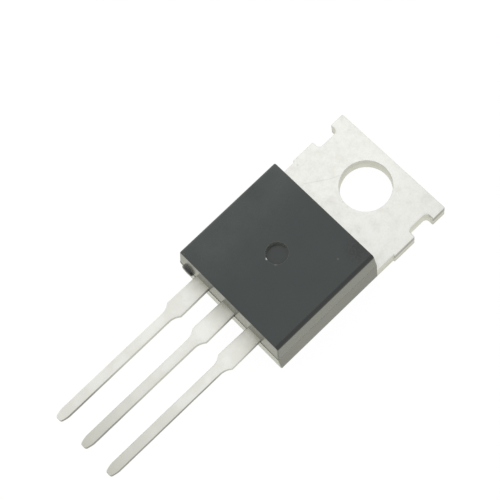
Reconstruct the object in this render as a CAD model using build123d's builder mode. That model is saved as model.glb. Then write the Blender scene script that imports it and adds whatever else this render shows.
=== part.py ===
from build123d import *
import os

# A triac in a three-lead power package with a bolt-on metal tab, lying on its back.
# The origin is the centre of the mounting hole on the back face. +Z points up through
# the moulded face, +Y to the free end of the tab, and the leads run towards -Y.
# All lengths are in millimetres.

# Tab: the bare end of the copper stamping that carries the chip
tab_width = 10.06
tab_thickness = 1.3
tab_end = 2.7               # hole centre to the free end
hole_diameter = 3.75
neck_width = 9.8            # trimmed a little narrower beside the body
neck_length = 1.5
notch_length = 1.75
notch_depth = 0.66
notch_corner = 0.35
notch_setback = 1.2         # free end to the nearer side of the notch

# Moulded epoxy body
body_width = 9.8
body_length = 9.3
body_height = 4.5
body_setback = 3.75         # hole centre to the rear face
side_draft = 0.12           # how far each face leans in between parting line and top
rear_draft = 0.1
front_draft = 0.3
body_rim = 0.2              # radius round the top face
dimple_diameter = 1.55
dimple_depth = 0.4
dimple_taper = 3
dimple_setback = 4.45       # rear face to the dimple's centre
stub_width = 1.0            # broken-off gate, where the resin flowed into the mould
stub_height = 0.5           # above the parting line
stub_length = 0.2           # how far it stands out in front of the body
stub_inset = 0.91           # body side to its middle
stub_corner = 0.22
stub_taper = 8

# Leads
lead_pitch = 2.54
lead_height = 2.6           # back face to the underside of the leads, also the parting line
lead_thickness = 0.5
lead_width = 0.76
lead_length = 13.2          # out of the body
shoulder_width = 1.3        # where the lead leaves the body
dam_width = 1.37            # over the trimmed stubs of the dam bar
dam_start = 2.2             # front face to the stubs
dam_length = 0.4
taper_length = 0.8
tip_length = 0.7
tip_width = 0.5

# Heat spreader: the part of the tab's stamping inside the body
pad_width = 7.8             # bare copper on the back
pad_length = 5.95           # rear face of the body to the front of the bare copper
ledge_width = 0.45          # coined rim that hooks under the resin
ledge_thickness = 0.7
groove_setback = 0.9        # rear face to the groove across the stamping
groove_width = 0.5
groove_depth = 0.25
upset_angle = 52            # slope of the centre lead between spreader and lead level
upset_radius = 0.5
upset_run = 0.35            # level stretch between spreader and slope

# Inner ends of the two side leads
post_width = 2.4
post_length = 1.3
post_setback = 0.85         # front face to the post
post_corner = 0.25
lock_hole_diameter = 0.5    # resin runs through it and holds the lead

# Chip and what joins it up
chip_size = 3.0
chip_thickness = 0.28
chip_setback = 3.8          # rear face of the body to the chip's centre
moat_width = 0.3            # glass-filled groove round the chip's top
moat_depth = 0.06
solder_thickness = 0.05
solder_margin = 0.15
contact_thickness = 0.01
contact_gap = 0.08
gate_contact_size = 0.7
power_wire_diameter = 0.5
power_wire_shift = 0.4      # chip's centre to the thick wire's foot, away from the gate
gate_wire_diameter = 0.2
wire_peak = 3.65            # height of a loop's centre line above the back face
loop_rise = 0.5             # share of the way between its feet that a loop climbs over
loop_fall = 0.75            # share of that way where it turns down again
foot_stretch = 2.4          # a flattened foot's length, width and height, and how high
foot_spread = 1.4           # the round wire lies on it, all in wire diameters
foot_squeeze = 0.55
foot_seat = 0.53

# Places that follow from the sizes
body_rear = -body_setback
body_front = body_rear - body_length
neck_start = body_rear + neck_length
lead_tip = body_front - lead_length
spreader_front = body_rear - pad_length - ledge_width
post_rear = body_front + post_setback + post_length
chip_place = body_rear - chip_setback
chip_base = tab_thickness + solder_thickness
chip_top = chip_base + chip_thickness
contact_top = chip_top + contact_thickness
lead_top = lead_height + lead_thickness
field_size = chip_size - 2 * moat_width
gate_place = (field_size - gate_contact_size) / 2 - contact_gap


# Outline of one lead from its root inside the body to its tip, in a plane whose
# origin is on the lead's centre line. The stubs of the dam bar are the widest place,
# and an arc leads from them into the narrow part.
def lead_outline(centre_x, root):
    dam_rear = body_front - dam_start
    dam_front = dam_rear - dam_length
    taper_front = dam_front - taper_length
    with BuildSketch(Plane((centre_x, 0, lead_height))) as outline:
        with BuildLine():
            Polyline(
                (0, root),
                (shoulder_width / 2, root),
                (shoulder_width / 2, body_front),
                (dam_width / 2, dam_rear),
                (dam_width / 2, dam_front),
            )
            TangentArc(
                (lead_width / 2, taper_front),
                (dam_width / 2, dam_front),
                tangent=(0, 1),
            )
            Polyline(
                (lead_width / 2, taper_front),
                (lead_width / 2, lead_tip + tip_length),
                (tip_width / 2, lead_tip),
                (0, lead_tip),
            )
            mirror(about=Plane.YZ)
        make_face()
    return outline.sketch


# A side lead ends inside the body in a wide post for the bond wires, with a hole
# behind the front face that the resin fills.
def side_lead(centre_x):
    with BuildPart() as lead:
        add(lead_outline(centre_x, post_rear - post_length / 2))
        extrude(amount=lead_thickness)
        post_plane = Plane((centre_x, post_rear - post_length / 2, lead_height))
        with BuildSketch(post_plane):
            RectangleRounded(post_width, post_length, post_corner)
        extrude(amount=lead_thickness)
        with BuildSketch(Plane((centre_x, body_front + post_setback, lead_height))):
            Circle(lock_hole_diameter / 2)
        extrude(amount=lead_thickness, mode=Mode.SUBTRACT)
    return lead


# A bond wire loops from the chip to a post, with a flattened foot at each end.
def bond_wire(chip_foot, post_foot, diameter):
    foot_length = foot_stretch * diameter
    foot_width = foot_spread * diameter
    foot_height = foot_squeeze * diameter
    start = Vector(*chip_foot, contact_top)
    end = Vector(*post_foot, lead_top)
    low = start.Z + foot_seat * diameter
    high = end.Z + foot_seat * diameter
    across = Vector(end.X - start.X, end.Y - start.Y, 0)
    span = across.length
    free_length = span - foot_length
    upright = Plane(
        origin=(start.X, start.Y, 0),
        x_dir=across,
        z_dir=across.cross(Vector(0, 0, 1)),
    )
    with BuildPart() as wire:
        with BuildLine(upright) as loop:
            FilletPolyline(
                (0, low),
                (foot_length / 2, low),
                (foot_length / 2 + loop_rise * free_length, wire_peak),
                (foot_length / 2 + loop_fall * free_length, wire_peak),
                (span - foot_length / 2, high),
                (span, high),
                radius=diameter,
            )
        with BuildSketch(Plane(origin=loop.line @ 0, z_dir=loop.line % 0)):
            Circle(diameter / 2)
        sweep(path=loop.line)
        for foot in (start, end):
            with BuildSketch(Plane(origin=foot, x_dir=across)):
                SlotOverall(foot_length, foot_width)
            extrude(amount=foot_height)
    return wire


# Centre lead: leaves the spreader level with its top face, climbs to lead level
# and runs out between the side leads.
with BuildPart() as centre_lead:
    low = tab_thickness - lead_thickness / 2
    high = lead_height + lead_thickness / 2
    slope_start = spreader_front - upset_run
    climb = Vector(0, high - low).rotate(Axis.Z, 90 - upset_angle)
    slope_end = slope_start - (high - low) * abs(climb.X) / climb.Y
    with BuildSketch(Plane.YZ):
        with BuildLine():
            FilletPolyline(
                (spreader_front + ledge_width, low),
                (slope_start, low),
                (slope_end, high),
                (lead_tip, high),
                radius=upset_radius,
            )
        trace(line_width=lead_thickness)
    extrude(amount=dam_width, both=True)
    add(lead_outline(0, spreader_front + ledge_width))
    extrude(amount=body_height, both=True, mode=Mode.INTERSECT)

# Tab, heat spreader and centre lead are one stamping from a two-thickness strip.
with BuildPart() as heatsink_tab:
    with BuildSketch():
        with Locations((0, neck_start)):
            Rectangle(tab_width, tab_end - neck_start, align=(Align.CENTER, Align.MIN))
        with Locations((0, body_rear)):
            Rectangle(neck_width, neck_length, align=(Align.CENTER, Align.MIN))
        notch_middle = tab_end - notch_setback - notch_length / 2
        with Locations((-tab_width / 2, notch_middle), (tab_width / 2, notch_middle)):
            RectangleRounded(
                2 * notch_depth, notch_length, notch_corner, mode=Mode.SUBTRACT
            )
        Circle(hole_diameter / 2, mode=Mode.SUBTRACT)
    extrude(amount=tab_thickness)
    with BuildSketch():
        with Locations((0, body_rear)):
            Rectangle(pad_width, pad_length, align=(Align.CENTER, Align.MAX))
    extrude(amount=tab_thickness)
    with BuildSketch(Plane.XY.offset(tab_thickness - ledge_thickness)):
        with Locations((0, body_rear)):
            Rectangle(
                pad_width + 2 * ledge_width,
                pad_length + ledge_width,
                align=(Align.CENTER, Align.MAX),
            )
    extrude(amount=ledge_thickness)
    groove_place = body_rear - groove_setback
    with BuildSketch(Plane.YZ):
        with BuildLine():
            Polyline(
                (groove_place - groove_width / 2, tab_thickness),
                (groove_place + groove_width / 2, tab_thickness),
                (groove_place, tab_thickness - groove_depth),
                close=True,
            )
        make_face()
    extrude(amount=tab_width, both=True, mode=Mode.SUBTRACT)
    add(centre_lead.part)

mt1_lead = side_lead(-lead_pitch)
gate_lead = side_lead(lead_pitch)

# Chip: a square of silicon with a groove round its top, filled with glass, and two
# metal contacts on the field inside the groove. Solder holds it on the spreader.
with BuildPart() as die_solder:
    with BuildSketch(Plane((0, chip_place, tab_thickness))):
        Rectangle(chip_size + 2 * solder_margin, chip_size + 2 * solder_margin)
    extrude(amount=solder_thickness)

with BuildPart() as passivation_glass:
    with BuildSketch(Plane((0, chip_place, chip_top - moat_depth))):
        Rectangle(chip_size, chip_size)
        Rectangle(field_size, field_size, mode=Mode.SUBTRACT)
    extrude(amount=moat_depth)

with BuildPart() as silicon_chip:
    with BuildSketch(Plane((0, chip_place, chip_base))):
        Rectangle(chip_size, chip_size)
    extrude(amount=chip_thickness)
    add(passivation_glass.part, mode=Mode.SUBTRACT)

with BuildPart() as gate_contact:
    with BuildSketch(Plane((gate_place, chip_place - gate_place, chip_top))):
        Rectangle(gate_contact_size, gate_contact_size)
    extrude(amount=contact_thickness)

with BuildPart() as mt1_contact:
    with BuildSketch(Plane((0, chip_place, chip_top))):
        Rectangle(field_size - 2 * contact_gap, field_size - 2 * contact_gap)
        with Locations((gate_place, -gate_place)):
            clear = gate_contact_size + 2 * contact_gap
            Rectangle(clear, clear, mode=Mode.SUBTRACT)
    extrude(amount=contact_thickness)

# A thick wire carries the main current from the chip's large contact to its post, and
# a thin one joins the small contact to the gate post.
post_middle = post_rear - post_length / 2
mt1_bond_wire = bond_wire(
    (-power_wire_shift, chip_place), (-lead_pitch, post_middle), power_wire_diameter
)
gate_bond_wire = bond_wire(
    (gate_place, chip_place - gate_place), (lead_pitch, post_middle), gate_wire_diameter
)

mt1_lead.part.label = "mt1_lead"
gate_lead.part.label = "gate_lead"
heatsink_tab.part.label = "heatsink_tab"
die_solder.part.label = "die_solder"
silicon_chip.part.label = "silicon_chip"
passivation_glass.part.label = "passivation_glass"
mt1_contact.part.label = "mt1_contact"
gate_contact.part.label = "gate_contact"
mt1_bond_wire.part.label = "mt1_bond_wire"
gate_bond_wire.part.label = "gate_bond_wire"
inner_parts = [
    heatsink_tab, mt1_lead, gate_lead, die_solder, silicon_chip, passivation_glass,
    mt1_contact, gate_contact, mt1_bond_wire, gate_bond_wire,
]

# Body: two mould halves meet at the underside of the leads. The lower half stands
# upright, the upper one leans in on all sides. The resin fills every space round the
# inner parts and leaves the spreader's back bare, flush with its own.
with BuildPart() as epoxy_body:
    body_middle = (body_rear + body_front) / 2
    with BuildSketch(Plane((0, body_middle, 0))):
        Rectangle(body_width, body_length)
    extrude(amount=lead_height)
    top_length = body_length - rear_draft - front_draft
    top_middle = body_rear - rear_draft - top_length / 2
    with BuildSketch(Plane((0, body_middle, lead_height))):
        Rectangle(body_width, body_length)
    with BuildSketch(Plane((0, top_middle, body_height))):
        Rectangle(body_width - 2 * side_draft, top_length)
    loft(ruled=True)
    fillet(faces().sort_by(Axis.Z)[-1].edges(), radius=body_rim)

    with BuildSketch(Plane((0, body_rear - dimple_setback, body_height))):
        Circle(dimple_diameter / 2)
    extrude(amount=-dimple_depth, taper=dimple_taper, mode=Mode.SUBTRACT)

    # What is left of the gate stands on the parting line, out of the leaning front face
    stub_place = (stub_inset - body_width / 2, body_front + front_draft, lead_height)
    stub_plane = Plane(origin=stub_place, x_dir=(1, 0, 0), z_dir=(0, -1, 0))
    with BuildSketch(stub_plane) as stub_outline:
        Rectangle(stub_width, stub_height, align=(Align.CENTER, Align.MIN))
        fillet(stub_outline.vertices().group_by(Axis.Y)[-1], radius=stub_corner)
    extrude(amount=front_draft + stub_length, taper=stub_taper)
    for inner in inner_parts:
        add(inner.part, mode=Mode.SUBTRACT)
epoxy_body.part.label = "epoxy_body"

os.makedirs("parts", exist_ok=True)
for piece in [epoxy_body, *inner_parts]:
    export_step(piece.part, f"parts/{piece.part.label}.step")
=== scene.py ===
import math

import bmesh
import bpy
from mathutils import Matrix, Vector, noise


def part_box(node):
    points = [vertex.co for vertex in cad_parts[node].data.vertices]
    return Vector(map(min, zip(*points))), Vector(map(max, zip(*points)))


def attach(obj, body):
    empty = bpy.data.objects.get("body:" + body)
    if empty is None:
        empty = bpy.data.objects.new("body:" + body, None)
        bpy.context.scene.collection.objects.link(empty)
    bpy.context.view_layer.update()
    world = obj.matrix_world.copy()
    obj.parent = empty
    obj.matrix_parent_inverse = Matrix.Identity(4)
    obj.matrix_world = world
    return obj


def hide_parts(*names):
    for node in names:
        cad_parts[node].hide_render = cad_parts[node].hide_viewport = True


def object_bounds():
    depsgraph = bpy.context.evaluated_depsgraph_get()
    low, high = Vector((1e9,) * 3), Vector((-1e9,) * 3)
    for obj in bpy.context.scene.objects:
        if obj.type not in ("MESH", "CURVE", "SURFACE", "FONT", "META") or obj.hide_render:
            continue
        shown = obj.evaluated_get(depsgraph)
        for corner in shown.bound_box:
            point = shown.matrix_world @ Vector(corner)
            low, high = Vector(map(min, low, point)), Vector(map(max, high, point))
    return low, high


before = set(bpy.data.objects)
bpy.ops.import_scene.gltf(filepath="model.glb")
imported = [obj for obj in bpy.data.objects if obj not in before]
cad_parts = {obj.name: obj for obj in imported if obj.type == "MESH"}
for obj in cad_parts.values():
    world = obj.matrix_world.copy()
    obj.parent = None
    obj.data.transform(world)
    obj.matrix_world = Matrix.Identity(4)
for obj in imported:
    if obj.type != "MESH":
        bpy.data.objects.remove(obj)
cadLow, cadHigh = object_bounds()
print("frame loaded:", len(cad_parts), "nodes")

mm = 0.001
bodyLow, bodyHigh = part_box("epoxy_body")
tabLow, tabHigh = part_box("heatsink_tab")
mt1Low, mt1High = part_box("mt1_lead")
gateLow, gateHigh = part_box("gate_lead")
leadBase, leadTop = mt1Low.z, mt1High.z     # underside and top of the leads
stubReach = 0.20 * mm       # the broken gate stands this far out of the body's front face
bodyFront, bodyRear = bodyLow.y + stubReach, bodyHigh.y
leadX = {
    "mt1": (mt1Low.x + mt1High.x) / 2,
    "centre": 0.0,
    "gate": (gateLow.x + gateHigh.x) / 2,
}


def addNode(tree, kind, feeds=None, **settings):
    made = tree.nodes.new(kind)
    for name, value in settings.items():
        setattr(made, name, value)
    feed(tree, made, feeds or {})
    return made


# links each socket, or writes each value, into the input that it is named for
def feed(tree, made, feeds):
    for socket, value in feeds.items():
        if isinstance(value, bpy.types.NodeSocket):
            tree.links.new(value, made.inputs[socket])
        else:
            made.inputs[socket].default_value = value


def maths(tree, operation, *values, clamp=False):
    return addNode(
        tree, "ShaderNodeMath", dict(enumerate(values)), operation=operation, use_clamp=clamp
    ).outputs[0]


def times(tree, *values, clamp=False):
    return maths(tree, "MULTIPLY", *values, clamp=clamp)


def minus(tree, value, less):
    return maths(tree, "SUBTRACT", value, less)


def unsigned(tree, value):
    return maths(tree, "ABSOLUTE", value)


def vectorMaths(tree, operation, *vectors):
    feeds = dict(enumerate(vectors))
    return addNode(tree, "ShaderNodeVectorMath", feeds, operation=operation).outputs


def scaled(tree, vector, factor):
    feeds = {0: vector, "Scale": factor}
    return addNode(tree, "ShaderNodeVectorMath", feeds, operation="SCALE").outputs[0]


def split(tree, vector):
    return addNode(tree, "ShaderNodeSeparateXYZ", {0: vector}).outputs


def combine(tree, *values):
    return addNode(tree, "ShaderNodeCombineXYZ", dict(enumerate(values))).outputs[0]


def surfaceNormal(tree):
    return split(tree, addNode(tree, "ShaderNodeNewGeometry").outputs["Normal"])


def remap(tree, value, fromLow, fromHigh, toLow, toHigh, curve="LINEAR"):
    feeds = dict(enumerate((value, fromLow, fromHigh, toLow, toHigh)))
    return addNode(tree, "ShaderNodeMapRange", feeds, interpolation_type=curve).outputs[0]


# noise over the object's own coordinates, with the size of one blot in metres
def blots(tree, place, size, detail=2.0, roughness=0.5, offset=0.0):
    moved = vectorMaths(tree, "ADD", place, (offset, offset, offset))[0]
    feeds = {"Vector": moved, "Scale": 1 / size, "Detail": detail, "Roughness": roughness}
    return addNode(tree, "ShaderNodeTexNoise", feeds).outputs["Fac"]


def blend(tree, factor, colourA, colourB):
    feeds = {0: factor, 6: colourA, 7: colourB}
    return addNode(tree, "ShaderNodeMix", feeds, data_type="RGBA").outputs[2]


# a grey, with a share of its blue taken out
def grey(level, yellow=0.0):
    return (level, level, level * (1 - yellow), 1.0)


def newMaterial(name):
    made = bpy.data.materials.new(name)
    made.use_nodes = True
    tree = made.node_tree
    shader = tree.nodes["Principled BSDF"]
    place = addNode(tree, "ShaderNodeTexCoord").outputs["Object"]
    return made, tree, shader, place


def bumps(tree, shader, heights):
    normal = None
    for height, distance in heights:
        feeds = {"Height": height, "Distance": distance, "Strength": 1.0}
        if normal is not None:
            feeds["Normal"] = normal
        normal = addNode(tree, "ShaderNodeBump", feeds).outputs[0]
    feed(tree, shader, {"Normal": normal})


# 1 near the line from start to end (in the plan view), 0 away from it
def lineMask(tree, place, start, end, width):
    along = Vector(end) - Vector(start)
    flat = vectorMaths(tree, "MULTIPLY", place, (1, 1, 0))[0]
    away = vectorMaths(tree, "SUBTRACT", flat, (start[0], start[1], 0))[0]
    step = (along.x / along.length_squared, along.y / along.length_squared, 0)
    share = vectorMaths(tree, "DOT_PRODUCT", away, step)["Value"]
    share = maths(tree, "ADD", share, 0.0, clamp=True)
    foot = scaled(tree, (along.x, along.y, 0), share)
    gap = vectorMaths(tree, "DISTANCE", away, foot)["Value"]
    return remap(tree, gap, 0, width, 1, 0, "SMOOTHSTEP")


# 1 at a point on the surface, fading out to 0 at the radius
def spotMask(tree, place, centre, radius):
    gap = vectorMaths(tree, "DISTANCE", place, centre)["Value"]
    return remap(tree, gap, 0, radius, 1, 0, "SMOOTHSTEP")


# Sizes that both a finish and a shape need
markSetback = 4.45 * mm         # axis of the ejector mark, from the body's rear face
markRadius = 0.775 * mm
tabThickness = 1.30 * mm
neckWidth = 9.80 * mm           # the tab where it enters the body

resinLook = {
    "dark": (0.021, 0.030, 0.028, 1.0),
    "pale": (0.028, 0.038, 0.036, 1.0),
    "paleTowardsMinusX": (0.060, 0.072, 0.068, 1.0),         # towards the -X side of the top
    "rim": (0.002, 0.003, 0.001, 1.0),          # painted shade along the +X edge of the top
    "side": (0.096, 0.101, 0.074, 1.0),         # painted reflection: the upright faces are painted paler and browner, for the warm floor they reflect
    "sideFoot": (0.036, 0.038, 0.024, 1.0),     # painted shade below the parting line
    # front faces painted paler still, a painted reflection of the bright floor at a grazing angle,
    # most below the parting line
    "frontFace": (0.172, 0.175, 0.140, 1.0),
    "frontFoot": (0.235, 0.237, 0.182, 1.0),
    "ledge": (0.260, 0.263, 0.220, 1.0),        # the parting line's ledge on the front face, seen from above: painted pale (painted light)
    "ledgeMiddle": -1.25 * mm,  # darkest here, paler away from it
    "ledgeReach": 2.2 * mm,
    # painted light in the ejector mark: a paler wall against the shade in it, a painted highlight on
    # its rim
    "dimpleWall": (0.170, 0.172, 0.145, 1.0),
    "dimpleRim": (0.055, 0.063, 0.060, 1.0),
    "broken": (0.020, 0.022, 0.020, 1.0),       # broken face of the gate stub, also the painted shade round it
    "stubShade": (-3.98 * mm, -12.97 * mm, 2.90 * mm),
    "stubShadeSize": 0.30 * mm,
    "scar": (-4.42 * mm, -13.15 * mm, 2.85 * mm),     # paler torn resin on it
    "scarSize": 0.46 * mm,
    "scarColour": grey(0.30, 0.1),
    "overLead": (0.225, 0.228, 0.186, 1.0),     # painted light over each lead, against the lead's dark reflection in the wall
    "overLeadFade": (0.58 * mm, 0.70 * mm),     # from the lead's middle
    "leadRowEnd": (3.5 * mm, 3.6 * mm),         # from the middle of the row
    "ior": 1.55,
    "roughness": 0.22,
    "roughnessSpread": 0.06,
    "cloudSize": 2.4 * mm,
    "grainSize": 0.07 * mm,
    "grainHeight": 0.0012 * mm,
    "moundSize": 0.6 * mm,
    "moundHeight": 0.0012 * mm,
    "cornerShade": (3.75 * mm, -4.15 * mm, 4.45 * mm),
    "cornerShadeSize": 1.5 * mm,
    "cornerShadeColour": grey(0.009),
    # small specks: place and size in millimetres, level; the two by the ejector mark's rim are
    # painted highlights
    "specksAndHighlights": (((3.19, -5.64, 4.5), 0.11, 0.10), ((-4.42, -12.64, 4.5), 0.08, 0.10),
               ((-0.20, -8.95, 4.5), 0.13, 0.75), ((0.50, -8.80, 4.5), 0.16, 0.12)),
    "footRoughness": 0.10,      # added below the parting line, except on the front face
}


def mouldedResin(look):
    finish, tree, shader, place = newMaterial("mouldedResin")
    cloud = blots(tree, place, look["cloudSize"], 4, 0.55)
    grain = blots(tree, place, look["grainSize"], 3, 0.65, 0.003)
    mix = maths(tree, "ADD", times(tree, cloud, 0.6), times(tree, grain, 0.4))
    tone = remap(tree, mix, 0.3, 0.7, 0, 1)
    spot = split(tree, place)
    facing = surfaceNormal(tree)
    top = blend(tree, tone, look["dark"], look["pale"])
    # paler towards the -X side of the top
    towardsMinusX = remap(tree, spot[0], 0.5 * mm, bodyLow.x, 0, 1, "SMOOTHSTEP")
    top = blend(tree, times(tree, towardsMinusX, tone), top, look["paleTowardsMinusX"])
    # upright faces are painted paler than the top, a painted reflection of the floor; below the
    # parting line the sides are painted darker (painted shade) and the front paler
    below = remap(tree, spot[2], leadBase - 0.04 * mm, leadBase + 0.04 * mm, 1, 0)
    side = blend(tree, below, look["side"], look["sideFoot"])
    front = remap(tree, facing[1], -0.9, -0.6, 1, 0)
    # painted light: a paler band on the front wall over each lead, against the lead's dark
    # reflection there
    halfPitch = leadX["gate"] / 2
    fromLead = unsigned(tree, maths(tree, "WRAP", spot[0], halfPitch, -halfPitch))
    overLead = times(tree, remap(tree, fromLead, *look["overLeadFade"], 1, 0),
                     remap(tree, unsigned(tree, spot[0]), *look["leadRowEnd"], 1, 0))
    frontFace = blend(tree, overLead, look["frontFace"], look["overLead"])
    wall = blend(tree, front, side, blend(tree, below, frontFace, look["frontFoot"]))
    wall = blend(tree, remap(tree, tone, 0, 1, 0.25, 0), wall, grey(0.0))
    # painted shade: a dark patch round the gate stub, in the broken resin's colour
    stubShade = spotMask(tree, place, look["stubShade"], look["stubShadeSize"])
    wall = blend(tree, times(tree, stubShade, front), wall, look["broken"])
    # painted light: the wall of the ejector mark is painted paler against the shade in it, and its
    # rim carries a painted highlight
    fromAxis = vectorMaths(tree, "DISTANCE", combine(tree, spot[0], spot[1]),
                           (0.0, bodyRear - markSetback, 0.0))["Value"]
    inMark = remap(tree, fromAxis, markRadius + 0.075 * mm, markRadius + 0.175 * mm, 1, 0)
    wall = blend(tree, inMark, wall, look["dimpleWall"])
    pastWall = remap(tree, fromAxis, markRadius - 0.035 * mm, markRadius - 0.005 * mm, 0, 1)
    onRim = times(tree, pastWall,
                  remap(tree, fromAxis, markRadius + 0.025 * mm, markRadius + 0.055 * mm, 1, 0))
    top = blend(tree, onRim, top, look["dimpleRim"])
    # the rounded +X edge of the top reflects darkness, and a dark band is painted along it as well
    # (painted shade)
    inward = minus(tree, bodyHigh.x, spot[0])
    edge = times(tree, remap(tree, inward, 0.42 * mm, 0.33 * mm, 0, 0.75),
                 remap(tree, inward, 0.16 * mm, 0.08 * mm, 1, 0))
    top = blend(tree, edge, top, look["rim"])
    # the parting line shows from above as a narrow ledge; it is painted pale away from its middle,
    # painted light over its shade line
    onLedge = remap(tree, unsigned(tree, minus(tree, spot[2], leadBase)),
                    0.02 * mm, 0.04 * mm, 1, 0)
    away = unsigned(tree, minus(tree, spot[0], look["ledgeMiddle"]))
    onLedge = times(tree, onLedge,
                    remap(tree, away, 0.2 * mm, look["ledgeReach"], 0, 1, "SMOOTHSTEP"))
    top = blend(tree, onLedge, top, look["ledge"])
    upright = remap(tree, unsigned(tree, facing[2]), 0.2, 0.45, 1, 0)
    colour = blend(tree, upright, top, wall)
    standsOut = remap(tree, spot[1], bodyFront - 0.03 * mm, bodyFront - 0.01 * mm, 1, 0)
    colour = blend(tree, standsOut, colour, look["broken"])
    # torn resin on the gate stub
    scar = spotMask(tree, place, look["scar"], look["scarSize"])
    tornShare = remap(tree, blots(tree, place, 0.10 * mm, 2, 0.7, 0.013), 0.42, 0.58, 0, 1)
    colour = blend(tree, times(tree, scar, tornShare, clamp=True), colour, look["scarColour"])
    # painted shade: a darker patch on the top near its rear +X corner, with a mottled edge
    cornerShade = spotMask(tree, place, look["cornerShade"], look["cornerShadeSize"])
    mottle = remap(tree, blots(tree, place, 0.16 * mm, 2, 0.7, 0.007), 0.42, 0.6, 0.25, 1)
    colour = blend(tree, times(tree, cornerShade, mottle, clamp=True), colour, look["cornerShadeColour"])
    # specks, and two painted highlights on the ejector mark's rim
    for (x, y, z), size, level in look["specksAndHighlights"]:
        speck = spotMask(tree, place, (x * mm, y * mm, z * mm), size * mm)
        colour = blend(tree, speck, colour, grey(level, 0.1))
    spread = look["roughnessSpread"] / 2
    rough = remap(tree, mix, 0.3, 0.7, look["roughness"] - spread, look["roughness"] + spread)
    foot = remap(tree, front, 0, 1, times(tree, below, look["footRoughness"]), 0)
    rough = maths(tree, "ADD", rough, foot)
    feed(tree, shader, {"Base Color": colour, "Roughness": rough, "IOR": look["ior"]})
    mound = blots(tree, place, look["moundSize"], 2, 0.5, 0.011)
    bumps(tree, shader, ((mound, look["moundHeight"]), (grain, look["grainHeight"])))
    return finish


tabLook = {
    "bright": 0.855,
    "dull": 0.812,
    "yellow": 0.045,
    "dimSide": 0.09,            # painted shade: how much darker the +X side is painted than the other
    "roughness": 0.40,
    "roughnessSpread": 0.12,
    "cloudSize": 2.6 * mm,
    "smudgeSize": 0.55 * mm,
    "speckleSize": 0.15 * mm,
    "speckle": 0.045,
    "grainSize": 0.05 * mm,
    "grainHeight": 0.0010 * mm,
    "waveSize": 1.4 * mm,
    "waveHeight": 0.004 * mm,
    "rollingSize": 0.035 * mm,
    "rollingHeight": 0.0005 * mm,
    "wall": 0.60,               # cut faces, painted darker: painted shade for the darker surroundings they reflect
    "upperCutShade": 0.32,            # upper band of the long cut faces, painted darkest (painted shade)
    "upperCutDepth": 0.50 * mm,
    "tornBand": 0.50,           # lower band of the same faces
    "scratch": ((-1.84, -0.70), (-2.15, -1.37), (-3.20, -2.90)),
    "scratchWidth": 0.07 * mm,
    "scratchDepth": 0.004 * mm,
    # dull marks: place and size in millimetres, strength
    "marks": (((1.85, -2.60), 0.45, 0.22), ((-0.92, 2.58), 0.40, 0.18), ((-4.75, 2.45), 0.35, 0.35),
              ((-0.32, -1.95), 0.13, 0.35), ((0.21, -1.98), 0.13, 0.35), ((2.22, -0.13), 0.16, 0.25),
              ((-4.55, -2.20), 0.16, 0.40)),
}


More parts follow.
